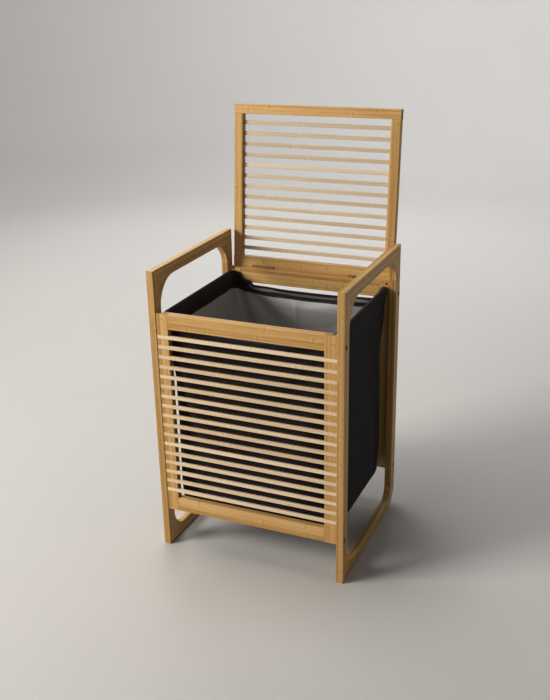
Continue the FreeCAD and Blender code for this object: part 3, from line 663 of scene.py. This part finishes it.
def drape():
    """displacement of the coarse grid after gravity has slackened it"""
    zt = top_z(COARSE)
    n_rows = 36
    L = arc_len(zt)
    rows = [mid_surface(COARSE, L * v, zt) for v in np.linspace(0, 1, n_rows)]
    rows.append(mid_surface(COARSE, L + 0.020, zt))
    rows.append(mid_surface(COARSE, L + 0.040, zt))
    G = np.array(rows)
    R, C, _ = G.shape
    me = bpy.data.meshes.new("drape_grid")
    idx = lambda r, c: r * C + c % C
    faces = [(idx(r, c), idx(r + 1, c), idx(r + 1, c + 1), idx(r, c + 1)) for r in range(R - 1) for c in range(C)]
    me.from_pydata(G.reshape(-1, 3).tolist(), [], faces)
    o = bpy.data.objects.new("drape_grid", me)
    bpy.context.scene.collection.objects.link(o)
    g = o.vertex_groups.new(name="pin")
    sw = side_weight(COARSE)
    hold = shoulder(COARSE)
    for c in range(C):
        if hold[c] > 0.02:
            g.add([idx(0, c)], float(min(1.0, hold[c])), "REPLACE")
            g.add([idx(1, c), idx(2, c)], float(0.8 * hold[c]), "REPLACE")
            if sw[c] < 0.5:
                g.add([idx(3, c)], float(0.4 * hold[c]), "REPLACE")
    g.add([idx(n_rows - 1, c) for c in range(C)], 1.0, "REPLACE")
    g.add([idx(n_rows, c) for c in range(C)], 1.0, "REPLACE")
    g.add([idx(n_rows + 1, c) for c in range(C)], 1.0, "REPLACE")
    g.add([idx(n_rows - 2, c) for c in range(C)], 0.35, "REPLACE")
    # little slack on the side panels and along the sewn edges
    g2 = o.vertex_groups.new(name="taut")
    for r in range(n_rows):
        v = r / (n_rows - 1)
        edge = max(0.0, 1 - v / 0.06)
        for c in range(C):
            g2.add([idx(r, c)], float(min(1.0, max(0.95 * sw[c], edge))), "REPLACE")
    md = o.modifiers.new("cloth", "CLOTH")
    st = md.settings
    st.quality = 6
    st.mass = 0.25
    st.tension_stiffness = st.compression_stiffness = 18.0
    st.shear_stiffness = 8.0
    st.bending_stiffness = 0.9
    st.tension_damping = st.compression_damping = 8.0
    st.air_damping = 2.0
    st.vertex_group_mass = "pin"
    st.pin_stiffness = 1.0
    st.vertex_group_shrink = "taut"
    st.shrink_min = -0.0050
    st.shrink_max = -0.0015
    md.collision_settings.use_collision = False
    md.collision_settings.use_self_collision = False
    n_f = 46
    md.point_cache.frame_start, md.point_cache.frame_end = 1, n_f
    sc = bpy.context.scene
    sc.frame_start, sc.frame_end = 1, n_f
    for f in range(1, n_f + 1):
        sc.frame_set(f)
    ev = o.evaluated_get(bpy.context.evaluated_depsgraph_get())
    co = np.empty(len(me.vertices) * 3)
    ev.data.vertices.foreach_get("co", co)
    D = co.reshape(R, C, 3) - G
    bpy.data.objects.remove(o)
    bpy.data.meshes.remove(me)
    sc.frame_set(1)
    sc.frame_start, sc.frame_end = 1, 1
    return D[:n_rows]


def cubic_w(t):
    return (-0.5 * t + t ** 2 - 0.5 * t ** 3, 1 - 2.5 * t ** 2 + 1.5 * t ** 3, 0.5 * t + 2 * t ** 2 - 1.5 * t ** 3, -0.5 * t ** 2 + 0.5 * t ** 3)


def sample(D, v, ci):
    """bicubic lookup: v in 0..1 down the rows, ci fractional coarse column"""
    R, C, _ = D.shape
    rf = np.clip(v, 0, 1) * (R - 1)
    r0, c0 = np.floor(rf).astype(int), np.floor(ci).astype(int)
    wr, wc = cubic_w(rf - r0), cubic_w(ci - c0)
    out = 0
    for i in range(4):
        rr = np.clip(r0 + i - 1, 0, R - 1)
        for j in range(4):
            out = out + (wr[i] * wc[j])[:, None] * D[rr, (c0 + j - 1) % C]
    return out


def value_noise(p, scale, seed):
    """smooth noise in -1..1 on an array of points"""
    q = p / scale + seed * 17.31
    i = np.floor(q).astype(np.int64)
    f = q - i
    f = f * f * f * (f * (f * 6 - 15) + 10)
    out = np.zeros(len(p))
    for dx in (0, 1):
        for dy in (0, 1):
            for dz in (0, 1):
                n = (i[:, 0] + dx) * 374761393 + (i[:, 1] + dy) * 668265263 + (i[:, 2] + dz) * 2147483647
                n = (n ^ (n >> 13)) * 1274126177 & 0x7FFFFFFF
                val = (n % 100003) / 50001.5 - 1
                out += val * (f[:, 0] if dx else 1 - f[:, 0]) * (f[:, 1] if dy else 1 - f[:, 1]) * (f[:, 2] if dz else 1 - f[:, 2])
    return out


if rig.quick():
    DRAPE = np.zeros((36, len(COARSE), 3))
    try:
        DRAPE = drape()
    except Exception as e:
        print("drape skipped", e)
else:
    DRAPE = drape()
mag = np.linalg.norm(DRAPE, axis=-1)
print("drape: max %.1f mm, mean %.1f mm" % (mag.max() * 1000, mag.mean() * 1000))


def build_bag():
    cols = FINE
    C = len(cols)
    ci = coarse_index(cols)
    zt = top_z(cols)
    sw = side_weight(cols)
    L = arc_len(zt)
    sh = shoulder(cols)
    H = 0.0175 + (0.0370 - 0.0175) * sh                       # depth of hem and cuff below the top row
    k, t = cols[:, 0].astype(int), cols[:, 1]
    xr, yr, _, _ = ring(cols, AX, BY0, BY1, 0.011)
    # the cuff's lower edge is a little uneven
    wob = 0.0024 * value_noise(np.stack([xr, yr, 0 * xr], -1), 0.037, 2) + 0.0042 * value_noise(np.stack([xr, yr, 0 * xr], -1), 0.095, 5)
    H = H + wob * sw + 0.0004 * value_noise(np.stack([xr, yr, 0 * xr], -1), 0.02, 9)

    def place(h):
        """draped middle surface at path length h (per column)"""
        hh = np.maximum(h, 0.0)
        P = mid_surface(cols, hh, zt)
        d = sample(DRAPE, hh / L, ci)
        d[:, 2] *= 0.55 + 0.45 * smooth01(hh / 0.06)
        fade = np.where(hh > L, 0.0, 1.0)[:, None]
        m = np.linalg.norm(d, axis=1, keepdims=True)
        cap = 0.012
        d = d * np.where(m > 1e-9, cap * np.tanh(m / cap) / np.maximum(m, 1e-9), 1.0)
        P = P + d * fade
        P[:, 2] += np.maximum(-h, 0.0)
        # stay clear of the panels and the side frames
        fold = np.exp(-((P[:, 0] + 0.024) / 0.0045) ** 2) * (k == 2) * smooth01((hh - 0.012) / 0.02)
        P[:, 1] -= 0.0022 * fold
        lim_out = np.where(np.abs(P[:, 0]) > 0.150, 0.0012, 0.0050)
        # the bottom rails stand closer than the slats do
        lim_out = np.minimum(lim_out, 0.0010 + 0.0040 * smooth01((P[:, 2] - 0.122) / 0.030))
        over = np.maximum(BY0 - lim_out - P[:, 1], 0)
        P[:, 1] += over
        over = np.maximum(P[:, 1] - (BY1 + np.minimum(lim_out, 0.0030)), 0)
        P[:, 1] -= over
        lim = AX + 0.0032
        P[:, 0] = np.clip(P[:, 0], -lim, lim)
        return P

    # small soft creases on top of the drape
    def crease(P, amp):
        z = P[:, 2]
        a = 0.55 * value_noise(P * np.array([1, 1, 0.45]), 0.042, 1) + 0.30 * value_noise(P * np.array([1, 1, 0.6]), 0.019, 4)
        b = 0.16 * value_noise(P, 0.0085, 6)
        return amp * (a + b)

    eps = 0.0008
    hs_body = np.concatenate([np.linspace(1.0, 0.90, 9), np.linspace(0.885, 0.0, 74)])   # 1 = fold to base, 0 = hem line
    lay = []                                    # (positions, material) rows of the outer side, from base to top, then inside

    def normal_at(h):
        h0, h1 = np.maximum(h - 0.0015, 0.0), np.maximum(h - 0.0015, 0.0) + 0.003
        dv = place(h1) - place(h0)
        P = place(np.maximum(h, 0.0))
        du = np.roll(P, -1, 0) - np.roll(P, 1, 0)
        n = np.cross(du, dv)
        n = -n
        n /= np.maximum(np.linalg.norm(n, axis=1, keepdims=True), 1e-12)
        # must point out of the bag
        c = P - np.array([0, CY, P[:, 2].mean()])
        s = np.sign((n * c).sum(1, keepdims=True))
        s[s == 0] = 1
        return n * s

    seam_t = np.where(k % 2 == 1, np.abs(t - 0.5), 9.0)
    seam = np.exp(-(seam_t / 0.035) ** 2)
    rows, mats_row = [], []

    def add(h, off, mat, creases=1.0, seam_amt=0.0, ref=None):
        P = place(h)
        n = normal_at(h)
        c = crease(P, 0.0011 * creases) * np.where(h > 0, 1, 0.6)
        P = P + n * (off + c + seam_amt * seam)[:, None]
        rows.append(P)
        mats_row.append(mat)

    OUT, LIN, HEM, TAPE = 0, 1, 2, 3
    t0 = 0.0009
    # base underside, centre to rim
    for e in (0.135, 0.12, 0.10, 0.08, 0.06, 0.045, 0.034, 0.022, 0.012, 0.005):
        h = L + e
        P = mid_surface(cols, h, zt)
        P[:, 2] -= t0
        rows.append(P)
        mats_row.append(OUT)
    base_n = len(rows)
    # outside wall
    for f in hs_body[:-1]:
        h = H + (L - H) * f
        add(h, t0 + 0 * h, OUT, 1.0, -0.0007)
    # seam line at the foot of hem and cuff, then the hem itself
    bulge_o = 0.0052
    for j, q in enumerate([0.0, 0.012, 0.03, 0.05, 0.10, 0.18, 0.27, 0.38, 0.50, 0.62, 0.73, 0.84, 0.93]):
        h = H * (1 - q)
        loose = 1 + 0.25 * value_noise(np.stack([xr * 1.0, yr, h], -1), 0.05, 8)
        side = t0 + (bulge_o - t0) * smooth01((q - 0.02) / 0.98) ** 0.9 * (0.9 + 0.1 * loose)
        side = side - 0.0005 * math.exp(-((q - 0.03) / 0.015) ** 2)
        front = t0 + 0.0007 * smooth01(np.array((q - 0.03) / 0.04)) - 0.0004 * math.exp(-((q - 0.012) / 0.012) ** 2)
        add(h, sw * side + (1 - sw) * front, OUT if True else HEM, 0.8, -0.0007 * (1 - q))
    # over the top
    R_s, R_f = bulge_o, 0.0016
    for th in np.linspace(0, math.pi, 13):
        Rr = R_s * sw + R_f * (1 - sw)
        h = -Rr * math.sin(th)
        add(h, Rr * math.cos(th), HEM if th > 0.8 else OUT, 0.25, 0.0)
    # inside of hem and cuff
    qs = [0.07, 0.14, 0.22, 0.26, 0.30, 0.42, 0.52, 0.56, 0.62, 0.72, 0.82, 0.90, 0.95, 0.985, 1.0]
    for q in qs:
        h = H * q
        nz = value_noise(np.stack([xr, yr, h * 0.7], -1), 0.030, 3)
        nz2 = value_noise(np.stack([xr, yr, h * 0.7], -1), 0.075, 12)
        side = -(0.0021 + (bulge_o - 0.0021) * (1 - smooth01(q / 0.92)) + 0.0016 * (nz + 0.6) * math.sin(math.pi * min(q / 0.95, 1)) + 0.0022 * np.maximum(nz2, -0.2) * math.sin(math.pi * min(q / 0.95, 1)) ** 1.5)
        front = -(0.0016 + 0 * h)
        # the left cuff hangs fuller, most of all towards the back corner
        full = smooth01((-xr - 0.150) / 0.020) * (0.45 + 0.55 * smooth01((yr - CY) / 0.12)) * (1 - smooth01((yr - BY1 + 0.030) / 0.022))
        side = side - 0.0048 * full * math.sin(math.pi * min(q / 0.97, 1)) ** 0.8
        if q > 0.99:
            side, front = -(t0 + 0.0010) + 0 * h, -(t0 + 0.0005) + 0 * h
        mat = HEM
        add(h, sw * side + (1 - sw) * front, mat, 0.5, 0.0)
    # foot of the cuff, then the lining
    add(H + 0.0006, -(t0 + 0.0002) + 0 * H, LIN, 0.5)
    for f in hs_body[::-1][1:]:
        h = H + 0.0006 + (L - H - 0.0006) * f
        add(h, -t0 + 0 * h, LIN, 1.0, 0.0007)
    for e in (0.005, 0.012, 0.022, 0.034, 0.045, 0.06, 0.08, 0.10, 0.12, 0.135):
        P = mid_surface(cols, L + e, zt)
        P[:, 2] += t0
        rows.append(P)
        mats_row.append(LIN)
    G = np.array(rows)
    R = len(rows)
    me = bpy.data.meshes.new("laundry_bag")
    idx = lambda r, c: r * C + c % C
    verts = G.reshape(-1, 3).tolist()
    faces, fm = [], []
    strip_rows = (base_n + len(hs_body) - 1 + 13 + 13 + 2, base_n + len(hs_body) - 1 + 13 + 13 + 3)
    for r in range(R - 1):
        for c in range(C):
            faces.append((idx(r, c), idx(r, c + 1), idx(r + 1, c + 1), idx(r + 1, c)))
            m = mats_row[r + 1] if mats_row[r + 1] != mats_row[r] and mats_row[r] == OUT else mats_row[r]
            if strip_rows[0] <= r <= strip_rows[1] + 2 and sh[c] < 0.30:
                m = TAPE
            fm.append(m)
    v0, v1 = len(verts), len(verts) + 1
    verts.append([0, CY, Z_BASE - t0])
    verts.append([0, CY, Z_BASE + t0])
    for c in range(C):
        faces.append((v0, idx(0, c + 1), idx(0, c)))
        fm.append(OUT)
        faces.append((v1, idx(R - 1, c), idx(R - 1, c + 1)))
        fm.append(LIN)
    me.from_pydata(verts, [], faces)
    for mk in ("outer", "lining", "hem", "tape"):
        me.materials.append(mats[mk])
    me.polygons.foreach_set("material_index", fm)
    me.polygons.foreach_set("use_smooth", [True] * len(faces))
    bm = bmesh.new()
    bm.from_mesh(me)
    bmesh.ops.recalc_face_normals(bm, faces=bm.faces)
    bm.to_mesh(me)
    bm.free()
    o = bpy.data.objects.new("laundry_bag", me)
    bpy.context.scene.collection.objects.link(o)
    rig.ride(o, "frame")
    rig.replaces(o, "bag_shell")
    info = dict(G=G, cols=cols, sw=sw, base_n=base_n, body=len(hs_body) - 1, H=H, L=L)
    return o, info


bag, BAG = build_bag()


def stitches(name, paths, pitch=0.0036, length=0.0026, rad=0.00038, mat="thread"):
    """paths: list of (points, normals) already on the surface"""
    V, F = [], []
    ring_n = 6
    for pts, nrm in paths:
        pts, nrm = np.array(pts), np.array(nrm)
        seg = np.linalg.norm(np.diff(pts, axis=0), axis=1)
        s = np.concatenate([[0], np.cumsum(seg)])
        n = int(s[-1] / pitch)
        for i in range(n):
            sa = (i + 0.5) * pitch + RNG.normal(0, 0.00008)
            p = np.array([np.interp(sa + d, s, pts[:, j]) for d in (-length / 2, length / 2) for j in range(3)]).reshape(2, 3)
            nn = np.array([np.interp(sa, s, nrm[:, j]) for j in range(3)])
            nn /= np.linalg.norm(nn)
            ax = p[1] - p[0]
            l = np.linalg.norm(ax)
            if l < 1e-5:
                continue
            ax /= l
            bi = np.cross(nn, ax)
            b = len(V)
            for q, rr, lift in ((0.0, 0.35, -0.10), (0.14, 0.9, 0.18), (0.5, 1.0, 0.42), (0.86, 0.9, 0.18), (1.0, 0.35, -0.10)):
                c = p[0] + (p[1] - p[0]) * q + nn * rad * lift
                for a in range(ring_n):
                    th = 2 * math.pi * a / ring_n
                    V.append(c + (bi * math.cos(th) + nn * math.sin(th)) * rad * rr)
            for r in range(4):
                for a in range(ring_n):
                    F.append((b + r * ring_n + a, b + r * ring_n + (a + 1) % ring_n, b + (r + 1) * ring_n + (a + 1) % ring_n, b + (r + 1) * ring_n + a))
            F.append(tuple(b + a for a in range(ring_n - 1, -1, -1)))
            F.append(tuple(b + 4 * ring_n + a for a in range(ring_n)))
    me = bpy.data.meshes.new(name)
    me.from_pydata([list(map(float, v)) for v in V], [], F)
    me.polygons.foreach_set("use_smooth", [True] * len(F))
    me.materials.append(mats[mat])
    o = bpy.data.objects.new(name, me)
    bpy.context.scene.collection.objects.link(o)
    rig.ride(o, "frame")
    return o


def grid_normals(G):
    du = np.roll(G, -1, 1) - np.roll(G, 1, 1)
    dv = np.gradient(G, axis=0)
    n = np.cross(du, dv)
    n /= np.maximum(np.linalg.norm(n, axis=2, keepdims=True), 1e-12)
    return n


def bag_stitching():
    G, cols, sw, bn, nb = BAG["G"], BAG["cols"], BAG["sw"], BAG["base_n"], BAG["body"]
    N = grid_normals(G)
    C = len(cols)
    r_out = bn + nb                       # first hem row on the outside
    cen = np.array([0, CY, 0.3])
    paths = []

    def ring_path(r, inside, off=0.0):
        P = G[r] + off
        n = N[r].copy()
        s = np.sign(((P - np.array([0, CY, 0])) * n * np.array([1, 1, 0])).sum(1))
        s[s == 0] = 1
        n = n * s[:, None] * (-1 if inside else 1)
        P = np.vstack([P, P[:1]])
        n = np.vstack([n, n[:1]])
        return P, n

    paths.append(ring_path(r_out + 2, False))
    r_in = r_out + 13 + 13 + 11
    paths.append(ring_path(r_in, True))
    # two rows down each corner, on the outside
    for kk in (1, 3, 5, 7):
        for tt in (0.42, 0.58):
            c = int(np.argmin(np.abs(cols[:, 0] - kk) * 10 + np.abs(cols[:, 1] - tt)))
            rr = np.arange(bn + 8, r_out)
            P, n = G[rr, c], N[rr, c]
            s = np.sign(((P - cen) * n * np.array([1, 1, 0])).sum(1))[:, None]
            paths.append((P, n * s))
    # the base seam
    paths.append(ring_path(bn + 9, False))
    return stitches("bag_stitching", paths)


bag_stitching()


def base_board():
    """stiff insert covered in lining cloth: rounded edge, dished a little, a sewn border"""
    lo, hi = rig.box("bag_base_board")
    a, b0, b1 = 0.1665, lo.y + 0.0025, hi.y - 0.0025
    zt, zb = hi.z + 0.0006, lo.z + 0.0001
    zm, hr = (zt + zb) / 2, (zt - zb) / 2
    cols = FINE
    C = len(cols)
    rows = []
    prof = []
    for th in np.linspace(-math.pi / 2, math.pi / 2, 9):
        prof.append((hr * (1 - math.cos(th)), zm + hr * math.sin(th)))
    top = [(0.004, 0), (0.008, 0), (0.0105, -0.0002), (0.0118, -0.0007), (0.0131, -0.0002), (0.016, 0.0003), (0.024, 0.0004), (0.040, 0.0002)]
    bot = [(0.040, 0), (0.024, 0), (0.012, 0), (0.005, 0)]
    seq = [(e, zb) for e, _ in bot] + prof + [(e, zt + d) for e, d in top]
    V = []
    for e, z in seq:
        x, y, nx, ny = ring(cols, a - e, b0 + e, b1 - e, max(0.036 - e, 0.003))
        V.append(np.stack([x, y, np.full(C, z)], -1))
    last = V[-1]
    for s in (0.8, 0.6, 0.4, 0.2, 0.08):
        P = last.copy()
        P[:, 0] *= s
        P[:, 1] = CY + (P[:, 1] - CY) * s
        P[:, 2] += 0.0005 * value_noise(P, 0.05, 20)
        V.append(P)
    first = V[0]
    G = np.array(V)
    R = len(G)
    idx = lambda r, c: r * C + c % C
    verts = G.reshape(-1, 3).tolist()
    faces = [(idx(r, c), idx(r, c + 1), idx(r + 1, c + 1), idx(r + 1, c)) for r in range(R - 1) for c in range(C)]
    v0 = len(verts)
    verts += [[0, CY, zb], [0, CY, zt + 0.0002]]
    for c in range(C):
        faces.append((v0, idx(0, c + 1), idx(0, c)))
        faces.append((v0 + 1, idx(R - 1, c), idx(R - 1, c + 1)))
    me = bpy.data.meshes.new("base_insert")
    me.from_pydata(verts, [], faces)
    me.materials.append(mats["board"])
    me.polygons.foreach_set("use_smooth", [True] * len(faces))
    bm = bmesh.new()
    bm.from_mesh(me)
    bmesh.ops.recalc_face_normals(bm, faces=bm.faces)
    bm.to_mesh(me)
    bm.free()
    o = bpy.data.objects.new("base_insert", me)
    bpy.context.scene.collection.objects.link(o)
    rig.ride(o, "frame")
    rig.replaces(o, "bag_base_board")
    r = 4 + 9 + 3
    P = np.vstack([G[r], G[r][:1]])
    n = np.tile(np.array([0, 0, 1.0]), (len(P), 1))
    stitches("base_insert_stitching", [(P, n)])


base_board()


# ---------------------------------------------------------------------------
# stage and light
# ---------------------------------------------------------------------------
def stage_mat(name, c, seed):
    T = Tree(name)
    n = T.noise(T.vm("ADD", T.coord(), (seed, 0, 0)), 1.5, 4.0)
    col = T.mix(n, tuple(v * 0.97 for v in c), tuple(min(1, v * 1.03) for v in c))
    T.bsdf.inputs["Specular IOR Level"].default_value = 0.2
    return T.set(color=col, rough=0.7)


def make_stage():
    # round floor that sweeps up into a wall on every side
    R, r, n = 4.6, 1.3, 96
    prof = [(0.6, 0.0), (1.4, 0.0), (2.4, 0.0), (R - r, 0.0)]
    for k in range(1, 17):
        a = math.pi / 2 * k / 16
        prof.append((R - r + r * math.sin(a), r - r * math.cos(a)))
    prof += [(R, 3.2), (R, 6.5)]
    vs, fs = [(0.0, 0.0, -0.0002)], []
    for d, z in prof:
        for i in range(n):
            t = 2 * math.pi * i / n
            vs.append((d * math.cos(t), d * math.sin(t), z - 0.0002))
    for i in range(n):
        fs.append((0, 1 + i, 1 + (i + 1) % n))
        for k in range(len(prof) - 1):
            a0, b0 = 1 + k * n, 1 + (k + 1) * n
            fs.append((a0 + i, b0 + i, b0 + (i + 1) % n, a0 + (i + 1) % n))
    me = bpy.data.meshes.new("stage_floor")
    me.from_pydata(vs, [], fs)
    for p in me.polygons:
        p.use_smooth = True
    o = bpy.data.objects.new("stage_floor", me)
    bpy.context.scene.collection.objects.link(o)
    me.materials.append(stage_mat("stage_paint", (0.56, 0.555, 0.55), 0.0))
    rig.stage(o)


def area(name, loc, target, size, power, color, size_y=None):
    l = bpy.data.lights.new(name, "AREA")
    l.energy, l.color = power, color
    l.shape = "RECTANGLE" if size_y else "SQUARE"
    l.size = size
    if size_y:
        l.size_y = size_y
    o = bpy.data.objects.new(name, l)
    o.location = loc
    o.rotation_mode = "QUATERNION"
    o.rotation_quaternion = (Vector(target) - Vector(loc)).to_track_quat("-Z", "Y")
    bpy.context.scene.collection.objects.link(o)
    return o


make_stage()
area("key", (-2.45, -2.10, 1.75), (0, 0, 0.42), 1.3, 124.0, (1.0, 0.955, 0.88))
area("fill", (2.4, -2.4, 1.6), (0, 0, 0.4), 2.2, 0.3, (0.92, 0.96, 1.0))
area("top", (-0.6, 0.2, 2.8), (0, 0, 0.3), 1.3, 28.0, (1.0, 0.98, 0.95))
area("rear", (-1.9, 2.3, 1.9), (0, 0, 0.4), 1.2, 16.0, (1.0, 0.98, 0.95))
area("back_wall", (-0.4, 2.2, 3.2), (0.0, 4.5, 1.3), 1.6, 80.0, (1.0, 1.0, 1.0))
area("front_wall", (0.6, -2.8, 3.4), (0.0, -4.6, 1.6), 1.6, 8.0, (1.0, 1.0, 1.0))
w = bpy.data.worlds.new("world")
bpy.context.scene.world = w
w.use_nodes = True
w.node_tree.nodes["Background"].inputs[0].default_value = (0.95, 0.96, 1.0, 1.0)
w.node_tree.nodes["Background"].inputs[1].default_value = 0.02
bpy.context.scene.view_settings.view_transform = "Standard"
bpy.context.scene.view_settings.look = "None"
bpy.context.scene.view_settings.exposure = 0.08
bpy.context.scene.view_settings.gamma = 0.86

box_now = [list(map(float, p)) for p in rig.bounds()]
json.dump({"cad": CAD_BOX, "visual": box_now}, open("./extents.json", "w"))
